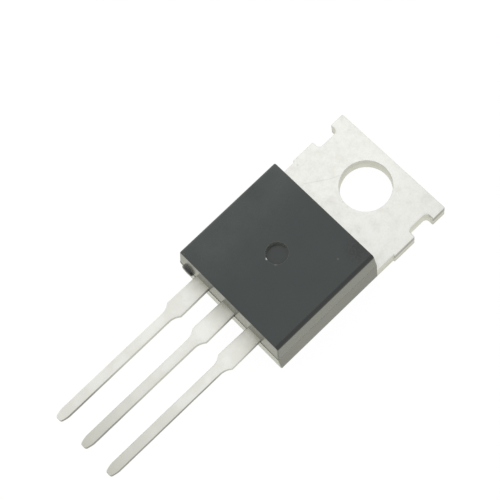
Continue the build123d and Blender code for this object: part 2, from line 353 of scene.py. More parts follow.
def tinnedStamping(look):
    finish, tree, shader, place = newMaterial("tinnedStamping")
    cloud = blots(tree, place, look["cloudSize"], 5, 0.6)
    smudge = blots(tree, place, look["smudgeSize"], 4, 0.65, 0.004)
    grain = blots(tree, place, look["grainSize"], 3, 0.6, 0.002)
    mix = maths(tree, "ADD", times(tree, cloud, 0.45), times(tree, smudge, 0.55))
    tone = remap(tree, mix, 0.36, 0.56, 0, 1, "SMOOTHSTEP")
    yellow = look["yellow"]
    colour = blend(tree, tone, grey(look["dull"], yellow * 1.4), grey(look["bright"], yellow))
    spot = split(tree, place)
    # painted shade: darker towards the +X side and a little at the far end
    dim = maths(tree, "ADD", remap(tree, spot[0], -1.5 * mm, tabHigh.x, 0, look["dimSide"]),
                remap(tree, spot[1], tabHigh.y - 0.8 * mm, tabHigh.y, 0, 0.03))
    colour = blend(tree, dim, colour, grey(0.0))
    speckle = blots(tree, place, look["speckleSize"], 3, 0.7, 0.015)
    colour = blend(tree, remap(tree, speckle, 0.35, 0.62, look["speckle"], 0), colour, grey(0.0))
    mottle = remap(tree, blots(tree, place, 0.22 * mm, 2, 0.7, 0.017), 0.40, 0.62, 0.2, 1)
    for (x, y), size, strength in look["marks"]:
        mark = spotMask(tree, place, (x * mm, y * mm, tabThickness), size * mm)
        mark = times(tree, times(tree, mark, mottle), strength)
        colour = blend(tree, mark, colour, grey(0.40, 0.1))
    # fine lines of the rolled strip run across the tab
    stretched = vectorMaths(tree, "MULTIPLY", place, (0.02, 1, 1))[0]
    rolling = blots(tree, stretched, look["rollingSize"], 3, 0.6, 0.005)
    # painted shade: cut faces are painted greyer than the rolled ones, the upper band of the long
    # ones darkest, for the darker surroundings they reflect
    slope = surfaceNormal(tree)[2]
    upright = remap(tree, unsigned(tree, slope), 0.35, 0.75, 1, 0, "SMOOTHSTEP")
    outside = remap(tree, unsigned(tree, spot[0]), tabHigh.x - 0.10 * mm,
                    tabHigh.x - 0.06 * mm, 0.15, 1)
    upperCutBand = remap(tree, spot[2], tabThickness - look["upperCutDepth"] - 0.12 * mm,
                   tabThickness - look["upperCutDepth"], 0, 1, "SMOOTHSTEP")
    cut = blend(tree, times(tree, outside, upperCutBand), grey(look["wall"], 0.05),
                grey(look["upperCutShade"], 0.05))
    outwards = remap(tree, unsigned(tree, spot[0]), neckWidth / 2 - 0.20 * mm,
                     neckWidth / 2 - 0.05 * mm, 0, 1)
    lowBand = times(tree, remap(tree, spot[2], 0.35 * mm, 0.75 * mm, 1, 0), outwards)
    cut = blend(tree, lowBand, cut, grey(look["tornBand"], 0.06))
    colour = blend(tree, upright, colour, cut)
    scratch = None
    for start, end in zip(look["scratch"], look["scratch"][1:]):
        line = lineMask(tree, place, [v * mm for v in start], [v * mm for v in end],
                        look["scratchWidth"])
        scratch = line if scratch is None else maths(tree, "MAXIMUM", scratch, line)
    colour = blend(tree, times(tree, scratch, 0.35), colour, grey(0.62, 0.08))
    spread = look["roughnessSpread"] / 2
    rough = remap(tree, mix, 0.35, 0.6, look["roughness"] + spread, look["roughness"] - spread)
    feed(tree, shader, {"Base Color": colour, "Roughness": rough, "Metallic": 1.0})
    wave = blots(tree, place, look["waveSize"], 2, 0.5, 0.009)
    groove = times(tree, scratch, -1.0)
    bumps(tree, shader, (
        (wave, look["waveHeight"]),
        (grain, look["grainHeight"]),
        (rolling, look["rollingHeight"]),
        (groove, look["scratchDepth"]),
    ))
    return finish


leadLook = {
    "bright": 0.818,
    "dull": 0.760,
    "tip": 0.555,               # the dipped ends are a little greyer
    "tipFadeStart": 4.0 * mm,   # distances run outwards from the body's front face
    "mt1Tip": 0.23,             # share of that greying on the lead at the -X side
    "root": 0.405,              # darker towards the body
    "rootLength": 2.2 * mm,
    "wall": 0.50,               # cut faces, painted darker: painted shade for the darker surroundings they reflect
    "wallTip": 0.24,            # painted darker still further out
    "wallRoot": 0.20,           # painted darkest where they meet the body
    "wallLeft": 0.86,           # cut faces on the -X side, painted paler as the lit side (painted light)
    "wallFade": (7.0 * mm, 10.5 * mm),
    "gateWallFade": (2.6 * mm, 4.0 * mm),
    "wallRootLength": 1.9 * mm,
    "yellow": 0.05,
    "roughness": 0.38,
    "roughnessSpread": 0.16,
    "cloudSize": 1.5 * mm,
    "grainSize": 0.06 * mm,
    "grainHeight": 0.0012 * mm,
    "rippleSize": 0.45 * mm,
    "rippleHeight": 0.004 * mm,
}


def tinnedLead(look):
    finish, tree, shader, place = newMaterial("tinnedLead")
    cloud = blots(tree, place, look["cloudSize"], 5, 0.6, 0.001)
    grain = blots(tree, place, look["grainSize"], 3, 0.6, 0.006)
    ripple = blots(tree, place, look["rippleSize"], 3, 0.55, 0.002)
    tone = remap(tree, cloud, 0.38, 0.62, 0, 1, "SMOOTHSTEP")
    yellow = look["yellow"]
    colour = blend(tree, tone, grey(look["dull"], yellow * 1.3), grey(look["bright"], yellow))
    spot = split(tree, place)
    # the ends are greyer, most of all on the centre lead and the gate lead
    end = remap(tree, spot[1], bodyFront - look["tipFadeStart"], tabLow.y, 0, 1)
    end = maths(tree, "POWER", end, 1.3)
    end = times(tree, end, remap(tree, spot[0], -2.0 * mm, -0.6 * mm, look["mt1Tip"], 1))
    colour = blend(tree, end, colour, grey(look["tip"], yellow * 2))
    root = remap(tree, spot[1], bodyFront - look["rootLength"], bodyFront, 0, 1)
    root = maths(tree, "POWER", root, 2.2)
    root = times(tree, root, remap(tree, ripple, 0.3, 0.7, 0.85, 1.1), clamp=True)
    colour = blend(tree, root, colour, grey(look["root"], 0.13))
    facing = surfaceNormal(tree)
    upright = remap(tree, unsigned(tree, facing[2]), 0.3, 0.8, 1, 0, "SMOOTHSTEP")
    nearBody = remap(tree, spot[1], bodyFront - look["wallRootLength"], bodyFront - 0.15 * mm, 0, 1)
    # painted shade: the cut faces are painted darker towards the tips, on the gate lead much sooner,
    # and darkest near the body; the -X ones are painted paler (painted light)
    out = minus(tree, bodyFront, spot[1])
    farOut = remap(tree, out, *look["wallFade"], 0, 1)
    onGate = remap(tree, spot[0], leadX["gate"] - 1.0 * mm, leadX["gate"] - 0.8 * mm, 0, 1)
    pastStub = remap(tree, out, *look["gateWallFade"], 0, 1)
    farOut = maths(tree, "MAXIMUM", farOut, times(tree, onGate, pastStub))
    cut = blend(tree, farOut, grey(look["wall"], 0.04), grey(look["wallTip"], 0.04))
    cut = blend(tree, nearBody, cut, grey(look["wallRoot"], 0.04))
    cut = blend(tree, remap(tree, facing[0], -0.5, -0.2, 1, 0), cut, grey(look["wallLeft"], 0.04))
    colour = blend(tree, upright, colour, cut)
    spread = look["roughnessSpread"] / 2
    rough = remap(tree, maths(tree, "ADD", cloud, times(tree, grain, 0.3)), 0.4, 0.8,
                  look["roughness"] + spread, look["roughness"] - spread)
    feed(tree, shader, {"Base Color": colour, "Roughness": rough, "Metallic": 1.0})
    bumps(tree, shader, ((ripple, look["rippleHeight"]), (grain, look["grainHeight"])))
    return finish


# finishes of the pieces inside the body
innerLooks = {
    "die_solder": {"colour": (0.40, 0.41, 0.42), "spread": 0.25, "metallic": 1.0,
                   "roughness": 0.45, "blot": 0.35 * mm, "height": 0.006 * mm},
    "silicon_chip": {"colour": (0.055, 0.060, 0.075), "spread": 0.12, "metallic": 0.6,
                     "roughness": 0.18, "blot": 0.8 * mm, "height": 0.0004 * mm},
    "passivation_glass": {"colour": (0.20, 0.16, 0.09), "spread": 0.30, "metallic": 0.0,
                          "roughness": 0.12, "blot": 0.25 * mm, "height": 0.002 * mm},
    "mt1_contact": {"colour": (0.78, 0.78, 0.79), "spread": 0.10, "metallic": 1.0,
                    "roughness": 0.30, "blot": 0.12 * mm, "height": 0.001 * mm},
    "gate_contact": {"colour": (0.78, 0.78, 0.79), "spread": 0.10, "metallic": 1.0,
                     "roughness": 0.30, "blot": 0.10 * mm, "height": 0.001 * mm},
    "mt1_bond_wire": {"colour": (0.82, 0.82, 0.83), "spread": 0.08, "metallic": 1.0,
                      "roughness": 0.25, "blot": 0.20 * mm, "height": 0.002 * mm},
    "gate_bond_wire": {"colour": (0.82, 0.82, 0.83), "spread": 0.08, "metallic": 1.0,
                       "roughness": 0.22, "blot": 0.12 * mm, "height": 0.001 * mm},
}


def innerFinish(name, look):
    finish, tree, shader, place = newMaterial(name + "Finish")
    blot = blots(tree, place, look["blot"], 4, 0.6)
    tone = remap(tree, blot, 0.35, 0.65, 0, 1)
    deep = tuple(c * (1 - look["spread"]) for c in look["colour"]) + (1.0,)
    colour = blend(tree, tone, deep, look["colour"] + (1.0,))
    rough = remap(tree, blot, 0.3, 0.7, look["roughness"] * 1.2, look["roughness"] * 0.8)
    feed(tree, shader, {"Base Color": colour, "Roughness": rough, "Metallic": look["metallic"]})
    bumps(tree, shader, ((blot, look["height"]),))
    return finish


resinFinish = mouldedResin(resinLook)
tabFinish = tinnedStamping(tabLook)
leadFinish = tinnedLead(leadLook)
for name, look in innerLooks.items():
    finish = innerFinish(name, look)
    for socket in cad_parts[name].material_slots:
        socket.material = finish
print("materials made")


# A closed outline of straight runs joined by arcs, anticlockwise from above. A corner is
# (x, y, radius) or (x, y, radius, True) where the run after it is divided at the pitch.
# The outline can be drawn in by an inset.
def roundedLoop(corners, steps, inset=0.0, pitch=0.1 * mm):
    count = len(corners)
    places = [Vector(corner[:2]) for corner in corners]
    moved = []
    for i, here in enumerate(places):
        normalIn = inwardNormal(places[i - 1], here)
        normalOut = inwardNormal(here, places[(i + 1) % count])
        moved.append(here + inset * (normalIn + normalOut) / (1 + normalIn.dot(normalOut)))
    arcs = []
    for i, here in enumerate(moved):
        before, after = moved[i - 1], moved[(i + 1) % count]
        goingIn, goingOut = (here - before).normalized(), (after - here).normalized()
        turn = math.atan2(goingIn.cross(goingOut), goingIn.dot(goingOut))
        side = math.copysign(1, turn)
        reach = math.tan(abs(turn) / 2)
        room = 0.45 * min((here - before).length, (after - here).length) / reach
        radius = min(max(corners[i][2] - side * inset, 0.002 * mm), room)
        start = here - goingIn * radius * reach
        centre = start + inwardNormal(before, here) * radius * side
        arcs.append([centre + (start - centre) @ Matrix.Rotation(-turn * k / steps, 2)
                     for k in range(steps + 1)])
    points = []
    for i, arc in enumerate(arcs):
        points += arc
        if len(corners[i]) > 3:
            pieces = max(1, round((places[(i + 1) % count] - places[i]).length / pitch))
            nextStart = arcs[(i + 1) % count][0]
            points += [arc[-1].lerp(nextStart, k / pieces) for k in range(1, pieces)]
    return points


def inwardNormal(start, end):
    along = (end - start).normalized()
    return Vector((-along.y, along.x))


def circleLoop(centre, radius, count):
    angles = (2 * math.pi * k / count for k in range(count))
    return [Vector((centre[0] + radius * math.cos(a), centre[1] + radius * math.sin(a)))
            for a in angles]


def addRing(bm, outline, height):
    return [bm.verts.new((p.x, p.y, height)) for p in outline]


def skinRings(bm, rings):
    for lower, upper in zip(rings, rings[1:]):
        count = len(lower)
        for i in range(count):
            j = (i + 1) % count
            bm.faces.new((lower[i], lower[j], upper[j], upper[i]))


# fills between an outer ring and the rings inside it
def fillBetween(bm, *rings):
    edges = []
    for ring in rings:
        for i, vert in enumerate(ring):
            pair = (vert, ring[(i + 1) % len(ring)])
            edges.append(bm.edges.get(pair) or bm.edges.new(pair))
    bmesh.ops.triangle_fill(bm, use_beauty=True, use_dissolve=False, edges=edges)


def addObject(name, data):
    made = bpy.data.objects.new(name, data)
    bpy.context.scene.collection.objects.link(made)
    return made


def placeMesh(name, bm, finish):
    mesh = bpy.data.meshes.new(name)
    bm.to_mesh(mesh)
    bm.free()
    mesh.materials.append(finish)
    return addObject(name, mesh)


def meshPiece(name, bm, finish, smoothAngle=35):
    bmesh.ops.remove_doubles(bm, verts=bm.verts, dist=0.0015 * mm)
    bmesh.ops.dissolve_degenerate(bm, edges=bm.edges, dist=0.0005 * mm)
    bmesh.ops.recalc_face_normals(bm, faces=bm.faces)
    piece = placeMesh(name, bm, finish)
    smoothEdges(piece, smoothAngle)
    return piece


def smoothEdges(piece, angle):
    piece.data.shade_smooth()
    piece.data.set_sharp_from_angle(angle=math.radians(angle))


# replaces the piece's mesh by what its modifiers make of it
def applyModifiers(piece):
    seen = bpy.context.evaluated_depsgraph_get()
    seen.update()
    made = bpy.data.meshes.new_from_object(piece.evaluated_get(seen))
    piece.modifiers.clear()
    piece.data = made
    return piece


def weighNormals(piece):
    modifier = piece.modifiers.new("weighNormals", "WEIGHTED_NORMAL")
    modifier.mode = "FACE_AREA"
    modifier.weight = 100
    modifier.keep_sharp = True
    return applyModifiers(piece)


bodyShape = {
    "sideLean": 0.12 * mm,      # from the parting line to the top
    "rearLean": 0.10 * mm,
    "frontLean": 0.30 * mm,
    "frontStep": 0.022 * mm,    # the upper mould half sits back by this much at the front
    "corner": 0.10 * mm,
    "sideRim": 0.27 * mm,       # rounding of the top edges
    "endRim": 0.09 * mm,
    "rimSteps": 9,
    "cornerSteps": 5,
    "footEdge": 0.05 * mm,
    "flash": 0.001 * mm,        # lip of resin left along the parting line
    "flashHeight": 0.02 * mm,
    "step": 0.003 * mm,         # the upper mould half is this much smaller
    "padWidth": 7.80 * mm,
    "padLength": 5.95 * mm,
    "ledge": 0.45 * mm,
    "ledgeBase": 0.60 * mm,
    "padTop": tabThickness,
    "dimpleRadius": markRadius,
    "dimpleSides": 96,
    "dimpleDepth": 0.40 * mm,
    "dimpleTaper": 3,           # degrees
    "dimpleSetback": markSetback,
    "dimpleEdge": 0.022 * mm,
    "stubWidth": 0.99 * mm,     # broken-off gate on the parting line
    "stubHeight": 0.50 * mm,
    "stubLength": stubReach - 0.01 * mm,
    "stubInset": 0.91 * mm,
    "stubRound": 0.10 * mm,
    "stubBreak": 0.05 * mm,     # unevenness of the broken face
    "stubSeed": 3.1,
    "stubRings": 24,
    "stubSides": 40,
    "stubFaceRings": 6,
}


# how far a rounded top edge has drawn in at a height
def rimInset(radius, height):
    rise = height - (bodyHigh.z - radius)
    return radius - math.sqrt(max(0.0, radius ** 2 - rise ** 2)) if rise > 0 else 0.0


# corners of the body's outline at one height
def bodySection(shape, height, step=0.0, slot=None):
    lean = max(0.0, (height - leadBase) / (bodyHigh.z - leadBase))
    endInset = rimInset(shape["endRim"], height) + step
    half = bodyHigh.x - shape["sideLean"] * lean - rimInset(shape["sideRim"], height) - step
    rear = bodyRear - shape["rearLean"] * lean - endInset
    ledge = shape["frontStep"] if step else 0.0
    front = bodyFront + ledge + (shape["frontLean"] - ledge) * lean + endInset
    corner = shape["corner"]
    # a closed slot is a hair deep, and its sides merge when the mesh is made
    slotHalf, slotDepth = slot or (shape["padWidth"] / 2, 0.0006 * mm)
    slotCorner = 0.001 * mm
    return [
        (-half, front, corner),
        (half, front, corner),
        (half, rear, corner),
        (slotHalf, rear, slotCorner),
        (slotHalf, rear - slotDepth, slotCorner),
        (-slotHalf, rear - slotDepth, slotCorner),
        (-slotHalf, rear, slotCorner),
        (-half, rear, corner),
    ]


# what is left of the gate: half an oval in section, rounded over, with a broken face
def makeStub(shape):
    bm = bmesh.new()
    middle = shape["stubInset"] - bodyHigh.x
    back, end = bodyFront + shape["frontLean"] + 0.05 * mm, bodyFront - shape["stubLength"]
    rings = []
    for k in range(shape["stubRings"] + 1):
        y = back + (end - back) * k / shape["stubRings"]
        over = max(0.0, (end + shape["stubRound"] - y) / shape["stubRound"])
        scale = 1 - 0.45 * (1 - math.sqrt(1 - 0.98 * over ** 2))
        ring = []
        for i in range(shape["stubSides"]):
            angle = 2 * math.pi * i / shape["stubSides"]
            x = math.cos(angle) * shape["stubWidth"] / 2 * scale
            z = max(math.sin(angle) * scale, -0.02) * shape["stubHeight"]
            lump = noise.noise(Vector((x, y, z + shape["stubSeed"] * mm)) / (0.22 * mm))
            lump *= shape["stubBreak"] * (0.25 + 0.75 * over) * 0.5
            spread = 1 + lump / (shape["stubWidth"] / 2)
            ring.append(bm.verts.new((middle + x * spread, y, leadBase + z * spread)))
        rings.append(ring)
    skinRings(bm, rings)
    bm.faces.new(list(reversed(rings[0])))
    # the broken face sinks unevenly towards its middle
    inner = rings[-1]
    faceRings = shape["stubFaceRings"]
    for k in range(1, faceRings + 1):
        ring = []
        for vert in rings[-1]:
            centre = Vector((middle, end, leadBase + shape["stubHeight"] * 0.35))
            place = vert.co.lerp(centre, k / (faceRings + 1))
            lump = noise.noise((place + Vector((0, 0, shape["stubSeed"] * mm))) / (0.12 * mm))
            place.y += shape["stubBreak"] * (0.5 + lump) * math.sin(math.pi / 2 * k / faceRings)
            ring.append(bm.verts.new(place))
        skinRings(bm, [inner, ring])
        inner = ring
    bm.faces.new(inner)
    bmesh.ops.recalc_face_normals(bm, faces=bm.faces)
    return placeMesh("gateStub", bm, resinFinish)


def makeBody(shape):
    bm = bmesh.new()
    rings = []

    def ringAt(height, inset=0.0, **section):
        corners = bodySection(shape, height, **section)
        outline = roundedLoop(corners, shape["cornerSteps"], inset)
        rings.append(addRing(bm, outline, height))

    pad = (shape["padWidth"] / 2, shape["padLength"])
    ledge = (pad[0] + shape["ledge"], pad[1] + shape["ledge"])
    edge = shape["footEdge"]
    ringAt(0.0, edge + 0.02 * mm, slot=pad)
    for k in range(5):
        angle = math.pi / 2 * k / 4
        ringAt(edge * (1 - math.cos(angle)), edge * (1 - math.sin(angle)), slot=pad)
    ringAt(shape["ledgeBase"], slot=pad)
    ringAt(shape["ledgeBase"], slot=ledge)
    ringAt(shape["padTop"], slot=ledge)
    ringAt(shape["padTop"])
    ringAt(leadBase - 2 * shape["flashHeight"])
    ringAt(leadBase - shape["flashHeight"])
    ringAt(leadBase - shape["flashHeight"] / 2, -shape["flash"])
    ringAt(leadBase, -shape["flash"])
    ringAt(leadBase, step=shape["step"])
    ringAt(leadBase + 0.1 * mm, step=shape["step"])
    for k in range(shape["rimSteps"] + 1):
        angle = math.pi / 2 * k / shape["rimSteps"]
        ringAt(bodyHigh.z - shape["sideRim"] * (1 - math.sin(angle)), step=shape["step"])
    ringAt(bodyHigh.z, 0.03 * mm, step=shape["step"])
    skinRings(bm, rings)
    bm.faces.new(list(reversed(rings[0])))

    # ejector mark: rounded rim, leaning wall and a flat floor
    centre = (0.0, bodyRear - shape["dimpleSetback"])
    radius, depth, lip = shape["dimpleRadius"], shape["dimpleDepth"], shape["dimpleEdge"]
    lean = math.tan(math.radians(shape["dimpleTaper"]))
    profile = [(radius + lip * 1.6, 0.0)]
    for k in range(6):
        angle = math.pi / 2 * k / 5
        profile.append((radius + lip * (1 - math.sin(angle)), lip * (1 - math.cos(angle))))
    floorRadius = radius - (depth - lip) * lean
    for k in range(5):
        angle = math.pi / 2 * k / 4
        profile.append((floorRadius - lip * (1 - math.cos(angle)),
                        depth - lip * (1 - math.sin(angle))))
    profile.append((floorRadius - lip * 2, depth))
    dimple = [addRing(bm, circleLoop(centre, r, shape["dimpleSides"]), bodyHigh.z - d)
              for r, d in profile]
    skinRings(bm, dimple)
    bm.faces.new(dimple[-1])
    fillBetween(bm, rings[-1], dimple[0])
    body = meshPiece("mouldedBody", bm, resinFinish)

    stub = makeStub(shape)
    join = body.modifiers.new("gateStub", "BOOLEAN")
    join.object = stub
    join.operation = "UNION"
    join.solver = "EXACT"
    applyModifiers(body)
    bpy.data.objects.remove(stub)
    smoothEdges(body, 35)
    return weighNormals(body)


mouldedBody = makeBody(bodyShape)
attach(mouldedBody, "root")
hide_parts("epoxy_body")
print("body made:", len(mouldedBody.data.polygons), "faces")


tabShape = {
    "neckWidth": neckWidth,
    "neckLength": 1.50 * mm,
    "inBody": 0.12 * mm,        # the resin closes round the start of the neck
    "notchLength": 1.75 * mm,
    "notchDepth": 0.66 * mm,
    "notchCorner": 0.38 * mm,
    "notchSetback": 1.20 * mm,
    "corner": 0.09 * mm,
    "cornerSteps": 5,
    "holeRadius": 1.875 * mm,
    "holeSides": 160,
    "thickness": tabThickness,
    "rollover": 0.09 * mm,      # the stamping die draws the top edge down
    "holeRollover": 0.04 * mm,
    "shear": 0.52,              # share of the cut face that is smooth
    "shearInset": 0.012 * mm,
    "fracture": 0.018 * mm,     # how rough the torn part below it is
    "swell": 0.004 * mm,        # the most that the torn part stands out
    "backEdge": 0.02 * mm,
    "pitch": 0.10 * mm,
    "seed": 4.7,
}


def tabSection(shape, inBodyHalf, inBodyFront):
    half = tabHigh.x - shape["swell"]
    end = tabHigh.y - shape["swell"]
    neck = shape["neckWidth"] / 2
    neckStart = bodyRear + shape["neckLength"]
    notchFar = end - shape["notchSetback"]
    notchNear = notchFar - shape["notchLength"]
    inner = half - shape["notchDepth"]
    corner, notchCorner = shape["corner"], shape["notchCorner"]
    right = [
        (inBodyHalf, inBodyFront, 0.05 * mm),
        (inBodyHalf, bodyRear - shape["inBody"], 0.01 * mm),
        (neck, bodyRear - shape["inBody"], 0.02 * mm),
        (neck, neckStart, 0.05 * mm),
        (half, neckStart, corner),
        (half, notchNear, corner),
        (inner, notchNear, notchCorner),
        (inner, notchFar, notchCorner),
        (half, notchFar, corner),
        (half, end, corner),
    ]
    # the runs that show are divided, so that the torn surface has points to move
    loop = right + [(-x, y, r) for x, y, r in reversed(right)]
    return [corner + (True,) if 2 <= i <= len(loop) - 4 else corner
            for i, corner in enumerate(loop)]


# depth of the torn surface at a place on the cut face
def torn(x, y, z, seed):
    coarse = noise.noise(Vector((x / (0.5 * mm), y / (0.5 * mm), z / (0.9 * mm) + seed)))
    fine = noise.noise(Vector((x / (0.14 * mm), y / (0.14 * mm), z / (0.2 * mm) - seed)))
    return 0.6 * coarse + 0.5 * fine


# heights up the cut face, each with its inset and how much of the tearing it shows
def cutFaceLevels(shape, roll):
    thickness = shape["thickness"]
    shearBase = thickness * (1 - shape["shear"])
    levels = [(0.0, shape["backEdge"] + 0.02 * mm, 0.0), (0.0, shape["backEdge"], 0.0),
              (shape["backEdge"], 0.0, 0.3)]
    for k in range(1, 7):
        share = k / 7
        levels.append((shape["backEdge"] + (shearBase - shape["backEdge"]) * share, 0.0,
                       math.sin(math.pi * share)))
    smooth = shape["shearInset"]
    levels += [(shearBase, 0.0, 0.25), (shearBase + 0.05 * mm, smooth, 0.0),
               (thickness - roll - 0.03 * mm, smooth, 0.0)]
    for k in range(6):
        angle = math.pi / 2 * k / 5
        levels.append((thickness - roll * (1 - math.sin(angle)),
                       smooth + roll * (1 - math.cos(angle)), 0.0))
    levels.append((thickness, roll + 0.05 * mm, 0.0))
    return levels


def makeTab(shape):
    bm = bmesh.new()
    pad = (bodyShape["padWidth"] / 2, bodyRear - bodyShape["padLength"])
    ledge = (pad[0] + bodyShape["ledge"], pad[1] - bodyShape["ledge"])
    rings, holeRings = [], []
    steps, pitch = shape["cornerSteps"], shape["pitch"]
    stepped = False
    for height, inset, tearing in cutFaceLevels(shape, shape["rollover"]):
        wide = height > bodyShape["ledgeBase"]
        if wide and not stepped:
            for inner in (pad, ledge):
                outline = roundedLoop(tabSection(shape, *inner), steps, 0.0, pitch)
                outline = tearOutline(outline, bodyShape["ledgeBase"], 0.4, shape)
                rings.append(addRing(bm, outline, bodyShape["ledgeBase"]))
            stepped = True
        outline = roundedLoop(tabSection(shape, *(ledge if wide else pad)), steps, inset, pitch)
        rings.append(addRing(bm, tearOutline(outline, height, tearing, shape), height))
    for height, inset, tearing in cutFaceLevels(shape, shape["holeRollover"]):
        hole = circleLoop((0, 0), shape["holeRadius"] + inset, shape["holeSides"])
        holeRings.append(addRing(bm, tearOutline(hole, height, tearing * 0.5, shape), height))
    skinRings(bm, rings)
    skinRings(bm, [list(reversed(ring)) for ring in holeRings])
    fillBetween(bm, rings[0], holeRings[0])
    fillBetween(bm, rings[-1], holeRings[-1])
    tab = meshPiece("tabPlate", bm, tabFinish, 40)
    return weighNormals(tab)


def tearOutline(outline, height, tearing, shape):
    if not tearing:
        return outline
    moved = []
    count = len(outline)
    for i, point in enumerate(outline):
        along = outline[(i + 1) % count] - outline[i - 1]
        outward = Vector((along.y, -along.x)).normalized()
        depth = torn(point.x, point.y, height, shape["seed"]) - 0.6
        moved.append(point + outward * depth * tearing * shape["fracture"])
    return moved


tabPlate = makeTab(tabShape)
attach(tabPlate, "root")
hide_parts("heatsink_tab")
print("tab made:", len(tabPlate.data.polygons), "faces")


leadShape = {
    "Shoulder Width": 1.30 * mm,
    "Stub Width": 1.37 * mm,
    "Stub Start": 2.20 * mm,    # distances run outwards from the body's front face
    "Stub Length": 0.40 * mm,
    "Taper Length": 0.80 * mm,
    "Lead Width": 0.76 * mm,
    "Thickness": leadTop - leadBase,
    "Tip Length": 0.70 * mm,
    "Tip Width": 0.46 * mm,
    "Tip Thickness": 0.40 * mm,
    "Edge Radius": 0.10 * mm,
    "Crown": 0.040 * mm,        # the tin is thinner towards the edges
    "Length": bodyFront - tabLow.y - 0.012 * mm,    # the uneven tin may stand this proud
    "Unevenness": 0.020 * mm,
    "Ripple": 0.9 * mm,         # size of one lump
}
ownPost = {"Root Depth": 2.15 * mm, "Post Width": 2.4 * mm, "Post Start": 0.85 * mm,
           "Drop": 0.0, "Drop Start": 0.0, "Drop End": 1 * mm}
leadExtras = {
    "mt1": {"Seed": 1.3, **ownPost},
    "centre": {"Seed": 5.1, "Root Depth": bodyRear - bodyFront - bodyShape["padLength"],
               "Post Width": 1.3 * mm, "Post Start": 0.85 * mm,
               "Drop": leadTop - bodyShape["padTop"], "Drop Start": 0.95 * mm,
               "Drop End": 2.75 * mm},
    "gate": {"Seed": 8.6, **ownPost},
}


